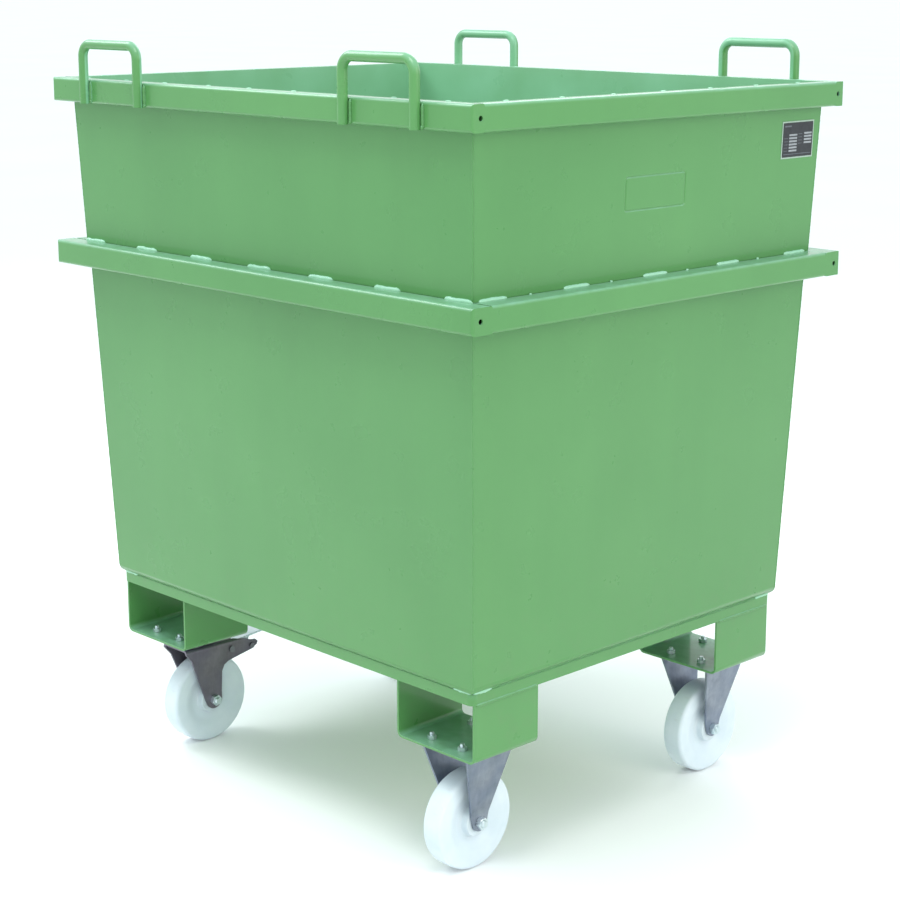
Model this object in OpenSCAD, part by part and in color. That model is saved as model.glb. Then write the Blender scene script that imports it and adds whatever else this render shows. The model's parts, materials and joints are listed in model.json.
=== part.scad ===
// Wheeled steel waste container: a tapered sheet-steel tub with a welded-on collar, crane
// eyes, fork pockets and castors, two fixed and two swivelling with a brake pedal.
// Units are millimetres. +X runs along the long side, +Z is up, and the floor is z = 0.

/* [Tub] */
// Height of the tub's underside above the floor
tub_z = 404.5; // [380:0.5:440]
// Outside width of the tub at its underside
tub_foot_w = 1135.7; // [1000:0.1:1160]
// Outside depth of the tub at its underside
tub_foot_d = 920.6; // [800:0.1:940]
// How far each sloping wall leans out per millimetre of height, along the width
lean_w = 0.0372; // [0:0.0001:0.06]
// How far each sloping wall leans out per millimetre of height, along the depth
lean_d = 0.0406; // [0:0.0001:0.06]
// Thickness of the sheet steel
sheet = 3; // [2:0.5:5]
// Outside radius where the left and right walls are rolled under to the floor plate
roll_w = 18; // [8:1:30]
// Outside radius where the front and back walls are rolled under
roll_d = 13; // [8:1:30]
// How far the collar stands outside the line of the lower walls
collar_step = 3; // [0:0.5:6]

/* [Rims] */
// Height of the upper rim's top face
rim_top = 1507; // [1400:1:1600]
// Height of the middle rim's top face
mid_top = 1156; // [1000:1:1250]
// Height of both rim tubes
rim_h = 50; // [40:1:60]
// Wall thickness of the rim tubes
rim_t = 3; // [2:0.5:5]
// Outer edge radius of the rim tubes
rim_r = 6; // [4:0.5:10]
// Width of the upper rim's tube
upper_bar = 30; // [30:1:50]
// Width of the middle rim's tube
middle_bar = 50; // [30:1:60]
// Radius of the vent hole in each tube end
vent_r = 5; // [3:0.5:8]
// Distance of each vent hole from the rim's outer corner
vent_inset = 20; // [15:1:25]

/* [Lifting eyes] */
// Diameter of the bent bar
eye_bar = 20; // [16:1:24]
// Distance from the middle of the container to the middle of each eye
eye_x = 412.5; // [380:0.5:440]
// Distance between the centre lines of an eye's legs
eye_pitch = 191; // [120:1:220]
// Height of the centre line of an eye's top bar
eye_z = 1580; // [1560:1:1620]
// Bend radius of the bar's centre line
eye_bend = 26; // [20:1:40]

/* [Base] */
// Width of the base tray
tray_w = 1122; // [1000:1:1130]
// Depth of the base tray
tray_d = 910; // [800:1:920]
// Height of the base tray
tray_h = 22.5; // [15:0.5:40]
// Sheet thickness of the base tray
tray_t = 4; // [3:0.5:6]
// Plan radius of the tray's corners
tray_r = 14; // [8:1:30]
// Distance from the middle of the container to the middle of each foot
foot_x = 451.5; // [430:0.5:455]
// Width of each channel foot
foot_w = 215; // [190:1:220]
// Length of each channel foot
foot_l = 174; // [160:1:200]
// Distance from the middle of the container to each foot's outer end
foot_end = 448; // [430:1:450]
// Sheet thickness of the feet
foot_t = 5; // [4:0.5:6]
// Outside bend radius of the feet
foot_r = 14; // [8:1:25]

/* [Castors] */
// Height of the castors' top plates above the floor
castor_h = 262; // [255:1:280]
// Distance from the middle of the container to each castor, along the width
castor_x = 452; // [448:1:456]
// Distance from the middle of the container to each castor, along the depth
castor_y = 361; // [355:1:367]
// Sheet thickness of the castors' plates, brackets and forks
plate_t = 5; // [4:0.5:6]
// Length of the castors' top plates
plate_l = 140; // [136:1:150]
// Distance between the castor bolts along the width
bolt_pitch_w = 85; // [80:1:88]
// Distance between the castor bolts along the depth
bolt_pitch_d = 110; // [105:1:114]
// Radius of the castor bolts
bolt_r = 5; // [4:0.5:6]
// Distance from the wheel's middle to a leg's outer face, at the axle
leg_out = 36; // [35:0.5:38]
// Radius of the wheels
wheel_r = 100; // [98:0.5:101]
// Width of the wheels' tread
wheel_w = 48; // [40:1:50]
// Distance from a swivel castor's king pin to its axle
trail = 43; // [38:1:48]
// Radius of the king pins
king_r = 10; // [8:0.5:12]
// Angle through which a brake pedal is pressed
pedal_travel = 8; // [4:0.5:9]

/* [Fittings] */
// Width of the rating plate
label_w = 106; // [60:1:120]
// Height of the rating plate
label_h = 76; // [40:1:80]
// Distance of the rating plate's middle behind the container's middle
label_y = 430; // [0:1:440]
// Height of the rating plate's middle above the floor
label_z = 1392; // [1200:1:1410]

/* [Hidden] */
ENDS = ["front", "back"];
SIDES = ["left", "right"];
CORNERS = [for (e = ENDS) for (s = SIDES) str(e, "_", s)];
function named(stem, list) = [for (n = list) str(stem, "_", n)];

$fn = 64;
e = 1;                                   // overshoot of a cutting shape
far = 2000;                              // longer than anything in the model
fit = 0.05;                              // radial running clearance
rim_gap = 0.2;                           // between a wall's top edge and the tube round it
tray_z = tub_z - tray_h;
eye_flat = 0.5;                          // depth of the flat where a leg lies on the rim
bolt_hole_r = bolt_r + 0.5;
hex_m10 = 16;                            // width across flats of an M10 nut or head
nut_m10_h = 8;
head_m10_h = 6.4;
bolt_end = 14;                           // how far a castor bolt stands above the foot's web
foot_top = tray_z;
foot_h = foot_top - castor_h;

// Fixed castors
bracket_half = 66;                       // half the width of the bracket's top plate
bracket_r = 10;                          // bend radius between plate and legs
bracket_leg_half = 63;                   // half the width of a leg under the plate
leg_end_r = 18;                          // radius of a leg's lower end
straight_z = 118;                        // below this height the legs are upright
bracket_lean = (bracket_half - leg_out) / (castor_h - straight_z);

// Axle
axle_r = 7;
tube_r = 10;
hex_axle = 22;
nut_axle_h = 11;
head_axle_h = 9;
axle_end = 5;                            // thread beyond the nut

// Wheel
hub_half = 29.5;                         // half the hub's width
hub_r = 30;
bore_r = 16.1;
shoulder_r = 9;
face_r = 72;                             // the flat side face runs from here to the shoulder
dish_r = 62;
dish_x = 15;                             // half the web's thickness
roller_r = 3;
roller_count = 12;
roller_pitch_r = tube_r + roller_r + fit;

// Swivel castors
fork_top = 236;                          // top face of the fork's crown
fork_half = 44;                          // half the crown's width
fork_r = 9;                              // bend radius between crown and legs
crown_front = -38;                       // ahead of the king pin
crown_back = 92;                         // the crown ends here and the wings go on
fork_neck = [-21, 206];                  // the leg's front edge meets the crown here
leg_back_z = 164;                        // the leg's back edge is upright below this height
// Rounded back end and lower edge of a wing: [distance behind the king pin, height]
wing_end = [[150, 220], [160, 219], [166, 213], [163, 206], [148, 198], [82, 185], [70, 178]];
fork_lean = (fork_half - leg_out) / (fork_top - straight_z);
fork_end_r = 21;
race_r = 32;                             // pitch radius of the balls
ball_r = 6;
ball_z = 246.5;
ball_count = 14;
king_head_r = 18;
king_head_h = 11;
king_head_gap = 0.5;                     // running clearance under the crown
lower_race_top = 244;
lower_race_r = 40;
swivel_plate_w = 116;
skirt_r = 44;                            // outside radius of the skirt over the balls
skirt_t = 2.5;
skirt_z = 241;
upper_race_z = 249;
plate_z = castor_h - plate_t;

// Brake
pin_a = [90, 212];                       // pedal pivot: [distance behind the king pin, height]
pin_b = [148, 207];                      // rivet that ties the two wings together
pin_a_r = 5;
pin_b_r = 4;
pin_rim = 2.5;                           // how far a pin's head stands out round its shank
pin_head_h = 3;
pedal_half = 34;
pedal_t = 4;
shoe_gap = 0.5;                          // between shoe and tread when the pedal is down
shoe_t = 12;
shoe_half = 20;
shoe_from = 52;                          // the shoe spans these angles of the wheel
shoe_to = 66;
shoe_back_t = 4;                         // bridge between the lugs, behind the shoe
lug_r = 11;                              // rounded front end of a pedal lug
// Rest of a lug, and the foot plate in side view with its lip: [distance behind the king pin, height]
lug_outline = [[82, 205], [86, 222], [100, 226], [150, 230], [140, 215], [122, 193], [114, 190],
               [92, 200]];
foot_plate = [[98, 222.5], [222, 234], [230, 231.5], [232, 234.5], [223, 238.5], [97, 226.5]];
foot_plate_r = 16;                       // corner radius of the foot plate, seen from above
foot_plate_l = 144;

label_t = 1;                             // thickness of the rating plate

green = "#7fb781";
zinc = "#9aa3ad";
nylon = "#eef1ee";

// Distance from the middle to where a bent section's flat base meets its corner bend
function bend_start(half, lean, r) = half + lean * r - r * sqrt(1 + lean * lean);
function half_w(z) = tub_foot_w / 2 + lean_w * (z - tub_z);
function half_d(z) = tub_foot_d / 2 + lean_d * (z - tub_z);
function side_of(name) = name == "front" || name == "left" ? -1 : 1;

lower_h = mid_top - tub_z;
// Outside sizes of the rims: each tube lies against the outside of a wall's top edge
upper_w = 2 * (half_w(rim_top) + collar_step + rim_gap + upper_bar);
upper_d = 2 * (half_d(rim_top) + collar_step + rim_gap + upper_bar);
middle_w = 2 * (half_w(mid_top) + rim_gap + middle_bar);
middle_d = 2 * (half_d(mid_top) + rim_gap + middle_bar);
eye_foot_z = rim_top - rim_h;            // the eyes' legs reach the rim's lower edge
floor_half_w = bend_start(tub_foot_w / 2, lean_w, roll_w);
floor_half_d = bend_start(tub_foot_d / 2, lean_d, roll_d);
shoe_r = wheel_r + shoe_gap;

// ---------- shapes used by several parts ----------

// Extrudes a (y, z) outline along X, or an (x, z) outline along Y, about the middle plane
module along_x(length) rotate([90, 0, 90]) linear_extrude(length, center = true) children();
module along_y(length) rotate([90, 0, 0]) linear_extrude(length, center = true) children();
// A rod along X, centred
module rod_x(r, length) rotate([0, 90, 0]) cylinder(r = r, h = length, center = true);
// A hexagonal prism standing on z = 0
module hex_prism(flats, h) cylinder(d = flats / cos(30), h = h, $fn = 6);

module rounded_rect(w, h, r) {
    square([w - 2 * r, h], center = true);
    square([w, h - 2 * r], center = true);
    for (x = [-1, 1], y = [-1, 1]) translate([x * (w / 2 - r), y * (h / 2 - r)]) circle(r);
}

// A flat base on y = 0 with two sides that rise to the given height and lean outwards
module bent_section(half, lean, height, r) {
    c = bend_start(half, lean, r);
    a = atan(lean);
    polygon([[-c, 0], [c, 0], [c + r * cos(a), r - r * sin(a)], [half + lean * height, height],
             [-half - lean * height, height], [-c - r * cos(a), r - r * sin(a)]]);
    for (s = [-1, 1]) translate([s * c, r]) circle(r);
}

// The same section moved inwards by the sheet's thickness
module inner_section(half, lean, height, r, t)
    translate([0, t])
        bent_section(half + lean * t - t * sqrt(1 + lean * lean), lean, height - t, r - t);

// ---------- tub ----------

module lower_outline_w(inset = 0, over = 0) translate([0, tub_z])
    if (inset > 0) inner_section(tub_foot_w / 2, lean_w, lower_h + over, roll_w, inset);
    else bent_section(tub_foot_w / 2, lean_w, lower_h + over, roll_w);
module lower_outline_d(inset = 0, over = 0) translate([0, tub_z])
    if (inset > 0) inner_section(tub_foot_d / 2, lean_d, lower_h + over, roll_d, inset);
    else bent_section(tub_foot_d / 2, lean_d, lower_h + over, roll_d);

// Front and back panels run the full width, rolled under at the bottom
module lower_long_wall(s) color(green)
    intersection() {
        difference() {
            along_x(far) lower_outline_d();
            along_x(far + e) lower_outline_d(sheet, e);
        }
        along_y(far) lower_outline_w();
        translate([-far / 2, s > 0 ? floor_half_d : -far - floor_half_d, 0]) cube(far);
    }

// Side panels stand between the front and back panels
module lower_side_wall(s) color(green)
    intersection() {
        difference() {
            along_y(far) lower_outline_w();
            along_y(far + e) lower_outline_w(sheet, e);
        }
        along_x(far) {
            lower_outline_d(sheet);
            translate([-floor_half_d, tub_z]) square([2 * floor_half_d, sheet + e]);
        }
        translate([s > 0 ? floor_half_w : -far - floor_half_w, -far / 2, 0]) cube(far);
    }

module floor_plate() color(green)
    translate([-floor_half_w, -floor_half_d, tub_z])
        cube([2 * floor_half_w, 2 * floor_half_d, sheet]);

// The collar's walls stand on the middle rim, carry on the taper and end at the upper rim's top
module collar_outline(foot, top, inset)
    polygon([[-foot + inset, mid_top], [foot - inset, mid_top],
             [top - inset, rim_top], [-top + inset, rim_top]]);
module collar_outline_w(inset = 0)
    collar_outline(half_w(mid_top) + collar_step, half_w(rim_top) + collar_step, inset);
module collar_outline_d(inset = 0)
    collar_outline(half_d(mid_top) + collar_step, half_d(rim_top) + collar_step, inset);

module collar_long_wall(s) color(green)
    intersection() {
        difference() {
            along_x(far) collar_outline_d();
            along_x(far + e) collar_outline_d(sheet);
        }
        along_y(far) collar_outline_w();
        translate([-far / 2, s > 0 ? 0 : -far, 0]) cube(far);
    }

module collar_side_wall(s) color(green)
    intersection() {
        difference() {
            along_y(far) collar_outline_w();
            along_y(far + e) collar_outline_w(sheet);
        }
        along_x(far) collar_outline_d(sheet);
        translate([s > 0 ? 0 : -far, -far / 2, 0]) cube(far);
    }

// ---------- rims ----------

// A front or back tube runs the full width; its closed ends have a vent hole
module rim_long_bar(w, d, bar, top, s) color(green)
    translate([0, 0, top - rim_h / 2])
        mirror([0, (1 - s) / 2, 0])
            difference() {
                intersection() {
                    translate([0, (d - bar) / 2, 0]) along_x(w) rounded_rect(bar, rim_h, rim_r);
                    linear_extrude(2 * rim_h, center = true) rounded_rect(w, d, rim_r);
                }
                translate([0, (d - bar) / 2, 0])
                    along_x(w - 2 * rim_t) rounded_rect(bar - 2 * rim_t, rim_h - 2 * rim_t, rim_r - rim_t);
                translate([0, d / 2 - vent_inset, 0]) rod_x(vent_r, w + e);
            }

// A side tube is butted between the front and back tubes
module rim_side_bar(w, d, bar, top, s) color(green)
    translate([s * (w - bar) / 2, 0, top - rim_h / 2])
        difference() {
            along_y(d - 2 * bar) rounded_rect(bar, rim_h, rim_r);
            along_y(d) rounded_rect(bar - 2 * rim_t, rim_h - 2 * rim_t, rim_r - rim_t);
        }

// ---------- lifting eyes ----------

// A bar bent twice, its legs welded against the outer face of the upper rim
module lifting_eye(sx, sy) color(green)
    translate([sx * eye_x, sy * (upper_d / 2 + eye_bar / 2 - eye_flat), 0])
        difference() {
            union() {
                for (s = [-1, 1]) {
                    translate([s * eye_pitch / 2, 0, eye_foot_z])
                        cylinder(d = eye_bar, h = eye_z - eye_bend - eye_foot_z);
                    translate([s * (eye_pitch / 2 - eye_bend), 0, eye_z - eye_bend])
                        rotate([90, 0, s > 0 ? 0 : 180]) rotate_extrude(angle = 90)
                            translate([eye_bend, 0]) circle(d = eye_bar);
                }
                translate([0, 0, eye_z]) rod_x(eye_bar / 2, eye_pitch - 2 * eye_bend);
            }
            // flat on each leg where it lies on the rim
            translate([0, -sy * (eye_bar - eye_flat), eye_foot_z - e])
                translate([-far / 2, -eye_bar / 2, 0]) cube([far, eye_bar, rim_h + e]);
        }

// ---------- base ----------

module base_tray() color(green)
    difference() {
        translate([0, 0, tray_z]) linear_extrude(tray_h) rounded_rect(tray_w, tray_d, tray_r);
        translate([0, 0, tray_z + tray_t]) linear_extrude(tray_h)
            rounded_rect(tray_w - 2 * tray_t, tray_d - 2 * tray_t, tray_r - tray_t);
    }

module at_castor_bolts()
    for (x = [-1, 1], y = [-1, 1]) translate([x * bolt_pitch_w / 2, y * bolt_pitch_d / 2, 0]) children();

// An upward-opening channel welded under the tray: a fork pocket with a castor bolted below
module foot(sx, sy) color(green)
    difference() {
        translate([sx * foot_x, sy * (foot_end - foot_l / 2), castor_h]) difference() {
            along_y(foot_l) bent_section(foot_w / 2, 0, foot_h, foot_r);
            along_y(foot_l + e) inner_section(foot_w / 2, 0, foot_h + e, foot_r, foot_t);
        }
        translate([sx * castor_x, sy * castor_y, castor_h - e]) at_castor_bolts()
            cylinder(r = bolt_hole_r, h = foot_t + 2 * e);
    }

// ---------- castor fasteners ----------

module at_castors() for (sx = [-1, 1], sy = [-1, 1]) translate([sx * castor_x, sy * castor_y, 0]) children();

module castor_bolts() color(zinc)
    at_castors() at_castor_bolts() {
        translate([0, 0, plate_z - head_m10_h]) rotate(30) hex_prism(hex_m10, head_m10_h);
        translate([0, 0, plate_z]) cylinder(r = bolt_r, h = plate_t + foot_t + bolt_end);
    }

module castor_nuts() color(zinc)
    at_castors() at_castor_bolts() translate([0, 0, castor_h + foot_t]) difference() {
        rotate(30) hex_prism(hex_m10, nut_m10_h);
        translate([0, 0, -e]) cylinder(r = bolt_r, h = nut_m10_h + 2 * e);
    }

// ---------- axle, shared by all castors; centred on the wheel ----------

module axle_tube() color(zinc)
    difference() {
        rod_x(tube_r, 2 * (leg_out - plate_t));
        rod_x(axle_r + 0.2, far);
    }
module axle_bolt() color(zinc) {
    translate([-leg_out - head_axle_h, 0, 0]) rotate([0, 90, 0]) hex_prism(hex_axle, head_axle_h);
    translate([-leg_out, 0, 0]) rotate([0, 90, 0])
        cylinder(r = axle_r, h = 2 * leg_out + nut_axle_h + axle_end);
}
module axle_nut() color(zinc)
    translate([leg_out, 0, 0]) rotate([0, 90, 0]) difference() {
        hex_prism(hex_axle, nut_axle_h);
        translate([0, 0, -e]) cylinder(r = axle_r, h = nut_axle_h + 2 * e);
    }

// One solid nylon wheel: rounded shoulders, a dished web and a plain hub
module wheel() color(nylon)
    rotate([0, 90, 0]) rotate_extrude($fn = 96) {
        half = wheel_w / 2;
        polygon([[bore_r, -hub_half], [hub_r, -hub_half], [hub_r + 3, -dish_x], [dish_r, -dish_x],
                 [face_r, -half], [wheel_r - shoulder_r, -half], [wheel_r, shoulder_r - half],
                 [wheel_r, half - shoulder_r], [wheel_r - shoulder_r, half], [face_r, half],
                 [dish_r, dish_x], [hub_r + 3, dish_x], [hub_r, hub_half], [bore_r, hub_half]]);
        for (s = [-1, 1]) translate([wheel_r - shoulder_r, s * (half - shoulder_r)]) circle(shoulder_r);
    }

// Loose rollers around the axle tube, between two cage rings
module roller_bearing() color("silver") rotate([0, 90, 0]) {
    length = 2 * hub_half - 7;
    for (i = [0:roller_count - 1]) rotate(i * 360 / roller_count) translate([roller_pitch_r, 0, 0])
        cylinder(r = roller_r, h = length, center = true);
    for (s = [-1, 1]) translate([0, 0, s * (length / 2 + 2)]) difference() {
        cylinder(r = bore_r, h = 3, center = true);
        cylinder(r = tube_r + 0.5, h = 4, center = true);
    }
}

// ---------- fixed castors ----------

// Tangent point on a circle of radius r about [0, 0], seen from the point [dx, dz]
function tangent(dx, dz, r) = let (a = atan2(dz, dx) - acos(r / norm([dx, dz]))) [r * cos(a), r * sin(a)];

module bracket_side_outline() {
    p = tangent(bracket_leg_half, plate_z - wheel_r, leg_end_r);
    translate([0, wheel_r]) {
        polygon([[p.x, p.y], [bracket_leg_half, plate_z - wheel_r],
                 [-bracket_leg_half, plate_z - wheel_r], [-p.x, p.y]]);
        circle(leg_end_r);
    }
    translate([-plate_l / 2, plate_z]) square([plate_l, plate_t]);
}

// One pressed plate bent into two legs that lean in towards the axle
module fixed_bracket() color(zinc)
    difference() {
        intersection() {
            along_y(far) {
                translate([0, castor_h]) mirror([0, 1])
                    bent_section(bracket_half, -bracket_lean, castor_h - straight_z, bracket_r);
                translate([-leg_out, 0]) square([2 * leg_out, straight_z + e]);
            }
            along_x(far) bracket_side_outline();
        }
        along_y(far) {
            translate([0, castor_h]) mirror([0, 1]) inner_section(
                bracket_half, -bracket_lean, castor_h - straight_z, bracket_r, plate_t);
            translate([plate_t - leg_out, 0]) square([2 * (leg_out - plate_t), straight_z + 2 * e]);
        }
        translate([0, 0, wheel_r]) rod_x(axle_r + 0.1, far);
        translate([0, 0, plate_z - e]) at_castor_bolts() cylinder(r = bolt_hole_r, h = plate_t + 2 * e);
    }

// ---------- swivel castors; the king pin stands on the origin and the wheel trails towards +Y ----------

module ball_groove() rotate_extrude() translate([race_r, ball_z]) circle(ball_r + fit);

// Top plate with the upper ball race and a skirt over the balls
module swivel_plate() color(zinc)
    difference() {
        union() {
            translate([0, 0, plate_z]) linear_extrude(plate_t) rounded_rect(swivel_plate_w, plate_l, 8);
            translate([0, 0, upper_race_z]) cylinder(r = skirt_r, h = plate_z - upper_race_z);
            translate([0, 0, skirt_z]) difference() {
                cylinder(r = skirt_r, h = upper_race_z - skirt_z + e);
                translate([0, 0, -e]) cylinder(r = skirt_r - skirt_t, h = upper_race_z - skirt_z + e);
            }
        }
        ball_groove();
        cylinder(r = king_r, h = far);
        translate([0, 0, plate_z]) cylinder(r1 = king_r, r2 = king_r + plate_t, h = plate_t);
        translate([0, 0, plate_z - e]) at_castor_bolts() cylinder(r = bolt_hole_r, h = plate_t + 2 * e);
    }

// Riveted pin: countersunk head in the plate, round head and thrust washer under the crown
module king_pin() color(zinc) {
    head_z = fork_top - plate_t - king_head_gap;
    translate([0, 0, head_z - king_head_h])
        cylinder(r1 = king_r + 2, r2 = king_head_r, h = king_head_h);
    translate([0, 0, head_z]) cylinder(r = king_r, h = plate_z - head_z);
    translate([0, 0, plate_z]) cylinder(r1 = king_r, r2 = king_r + plate_t, h = plate_t);
}

module swivel_ball_ring() color("silver")
    for (i = [0:ball_count - 1]) rotate(i * 360 / ball_count) translate([race_r, 0, ball_z]) sphere(ball_r);

// Side view of the fork: crown, leg and the wing that carries the brake
module fork_side_outline() {
    front = tangent(trail - fork_neck.x, fork_neck.y - wheel_r, fork_end_r);
    polygon(concat(
        [[trail - front.x, wheel_r + front.y], fork_neck, [crown_front, fork_top - 2 * plate_t],
         [crown_front, fork_top], [crown_back, fork_top]],
        wing_end,
        [[trail + fork_end_r, leg_back_z], [trail + fork_end_r, wheel_r]]));
    translate([trail, wheel_r]) circle(fork_end_r);
}

// Cross-section of the space between the wings, hung from just above the crown's height
module wing_gap() {
    top = fork_half + fork_lean * e - plate_t * sqrt(1 + fork_lean * fork_lean);
    polygon([[-top, 0], [top, 0], [leg_out - plate_t, fork_top + e - straight_z],
             [plate_t - leg_out, fork_top + e - straight_z]]);
}

module swivel_fork() color("#6f7479")
    difference() {
        union() {
            intersection() {
                along_y(far) {
                    translate([0, fork_top]) mirror([0, 1])
                        bent_section(fork_half, -fork_lean, fork_top - straight_z, fork_r);
                    translate([-leg_out, 0]) square([2 * leg_out, straight_z + e]);
                }
                along_x(far) fork_side_outline();
            }
            translate([0, 0, fork_top]) cylinder(r = lower_race_r, h = lower_race_top - fork_top);
        }
        along_y(far) {
            translate([0, fork_top]) mirror([0, 1])
                inner_section(fork_half, -fork_lean, fork_top - straight_z, fork_r, plate_t);
            translate([plate_t - leg_out, 0]) square([2 * (leg_out - plate_t), straight_z + 2 * e]);
        }
        // the wings are open at the top, behind the crown
        translate([0, crown_back + far / 2, 0]) along_y(far) mirror([0, 1])
            translate([0, -fork_top - e]) wing_gap();
        ball_groove();
        cylinder(r = king_r + fit, h = far);
        translate([0, trail, wheel_r]) rod_x(axle_r + 0.1, far);
        translate([0, pin_a.x, pin_a.y]) rod_x(pin_a_r, far);
        translate([0, pin_b.x, pin_b.y]) rod_x(pin_b_r, far);
    }

// The pedal's pivot and the rivet between the wings, both headed outside
module brake_pins() color(zinc)
    for (p = [[pin_a, pin_a_r], [pin_b, pin_b_r]]) translate([0, p[0].x, p[0].y]) {
        out = leg_out + fork_lean * (p[0].y - straight_z);
        rod_x(p[1], 2 * out + 2);
        for (s = [-1, 1]) translate([s * (out + 2), 0, 0]) rod_x(p[1] + pin_rim, pin_head_h);
    }

// Turns its children from the pressed position back up to the rest position, about the pivot
module pedal_up() translate(pin_a) rotate(pedal_travel) translate(-pin_a) children();

// Sector of a ring about the wheel's centre, between two radii and two angles
module wheel_sector(r1, r2, from, to) translate([trail, wheel_r]) intersection() {
    difference() {
        circle(r2, $fn = 128);
        circle(r1, $fn = 128);
    }
    polygon([[0, 0], 2 * r2 * [cos(from), sin(from)], 2 * r2 * [cos(to), sin(to)]]);
}

module pedal_lug_outline() {
    translate(pin_a) circle(lug_r);
    polygon(lug_outline);
}

// Pressed pedal: two lugs on the pivot, a foot plate behind and a bridge that backs the shoe
module brake_pedal() color("#cfd6dc")
    difference() {
        union() {
            for (s = [-1, 1]) translate([s * (pedal_half - pedal_t / 2), 0, 0])
                along_x(pedal_t) pedal_lug_outline();
            intersection() {
                along_x(2 * pedal_half) polygon(foot_plate);
                linear_extrude(far) translate([0, foot_plate[3].x - foot_plate_l / 2])
                    rounded_rect(2 * pedal_half, foot_plate_l, foot_plate_r);
            }
            along_x(2 * pedal_half) pedal_up()
                wheel_sector(shoe_r + shoe_t, shoe_r + shoe_t + shoe_back_t, shoe_from, shoe_to);
        }
        translate([0, pin_a.x, pin_a.y]) rod_x(pin_a_r + fit, far);
    }

module brake_shoe() color("#3a3d40")
    along_x(2 * shoe_half) pedal_up() wheel_sector(shoe_r, shoe_r + shoe_t, shoe_from, shoe_to);

// Puts a swivel castor's part under the front or back left foot, trailing inwards
module at_swivel(name) translate([-castor_x, side_of(name) * castor_y, 0])
    mirror([0, name == "back" ? 1 : 0, 0]) children();
module at_swivel_axle(name) at_swivel(name) translate([0, trail, wheel_r]) children();
module at_fixed_axle(name) translate([castor_x, side_of(name) * castor_y, wheel_r]) children();

// ---------- fittings ----------

// Thin plate lying on the right collar wall, near its back top corner
module rating_plate() color("#33363a")
    intersection() {
        difference() {
            along_y(far) collar_outline_w(-label_t);
            along_y(far + e) collar_outline_w();
        }
        translate([0, label_y - label_w / 2, label_z - label_h / 2]) cube([far, label_w, label_h]);
    }

// ---------- the container ----------

for (n = ENDS) {
    lower_long_wall(side_of(n));
    collar_long_wall(side_of(n));
    rim_long_bar(middle_w, middle_d, middle_bar, mid_top, side_of(n));
    rim_long_bar(upper_w, upper_d, upper_bar, rim_top, side_of(n));
    translate([castor_x, side_of(n) * castor_y, 0]) fixed_bracket();
    at_swivel(n) swivel_plate();
    at_swivel(n) swivel_fork();
    at_swivel_axle(n) axle_tube();
    at_swivel_axle(n) axle_bolt();
    at_swivel_axle(n) axle_nut();
    at_swivel(n) brake_pins();
    at_swivel(n) brake_pedal();
    at_swivel(n) brake_shoe();
    at_swivel_axle(n) wheel();
    at_swivel_axle(n) roller_bearing();
    at_fixed_axle(n) wheel();
    at_fixed_axle(n) roller_bearing();
    for (s = SIDES) {
        lifting_eye(side_of(s), side_of(n));
        foot(side_of(s), side_of(n));
    }
}
for (s = SIDES) {
    lower_side_wall(side_of(s));
    collar_side_wall(side_of(s));
    rim_side_bar(middle_w, middle_d, middle_bar, mid_top, side_of(s));
    rim_side_bar(upper_w, upper_d, upper_bar, rim_top, side_of(s));
}
floor_plate();
base_tray();
rating_plate();
castor_bolts();
castor_nuts();
for (n = ENDS) at_fixed_axle(n) axle_tube();  // fixed_axle_tubes
for (n = ENDS) at_fixed_axle(n) axle_bolt();  // fixed_axle_bolts
for (n = ENDS) at_fixed_axle(n) axle_nut();  // fixed_axle_nuts
for (n = ENDS) at_swivel(n) swivel_ball_ring();  // swivel_balls
for (n = ENDS) at_swivel(n) king_pin();  // king_pins
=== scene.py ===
"""Looks of a wheeled steel waste container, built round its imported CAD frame.

Units are metres. +X is right, -Y is the front (a long side), +Z is up and the floor is z = 0.
"""
import json
import math

import bmesh
import bpy
from mathutils import Matrix, Vector, noise


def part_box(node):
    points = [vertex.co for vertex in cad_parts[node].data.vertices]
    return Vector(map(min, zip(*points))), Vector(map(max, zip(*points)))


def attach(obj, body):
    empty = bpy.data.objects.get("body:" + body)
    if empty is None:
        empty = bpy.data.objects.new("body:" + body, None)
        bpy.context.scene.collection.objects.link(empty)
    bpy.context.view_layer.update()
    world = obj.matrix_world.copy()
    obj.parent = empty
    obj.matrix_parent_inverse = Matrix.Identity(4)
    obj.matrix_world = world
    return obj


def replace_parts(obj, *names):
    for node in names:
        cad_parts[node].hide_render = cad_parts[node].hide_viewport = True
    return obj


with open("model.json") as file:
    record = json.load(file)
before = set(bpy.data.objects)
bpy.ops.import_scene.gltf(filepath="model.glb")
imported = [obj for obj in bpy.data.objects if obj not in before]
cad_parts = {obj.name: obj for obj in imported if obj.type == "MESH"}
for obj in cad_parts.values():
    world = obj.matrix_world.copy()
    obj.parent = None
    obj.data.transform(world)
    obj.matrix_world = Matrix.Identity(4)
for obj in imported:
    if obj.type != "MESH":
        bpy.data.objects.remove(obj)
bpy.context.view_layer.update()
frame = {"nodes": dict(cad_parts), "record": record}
NODES = frame["nodes"]
ENDS = ("front", "back")
SIDES = ("left", "right")
CORNERS = [(end, side) for end in ENDS for side in SIDES]
X, Y, Z = Vector((1, 0, 0)), Vector((0, 1, 0)), Vector((0, 0, 1))
MM = 0.001


def sign(name):
    """Which way an end lies along Y, or a side along X."""
    return -1 if name in ("front", "left") else 1


def srgb(red, green, blue):
    """A colour picked on screen, as the linear RGBA that Blender works in."""
    channels = [c / 255 for c in (red, green, blue)]
    linear = [c / 12.92 if c <= 0.04045 else ((c + 0.055) / 1.055) ** 2.4 for c in channels]
    return (*linear, 1.0)


# ---------- shapes ----------

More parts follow.
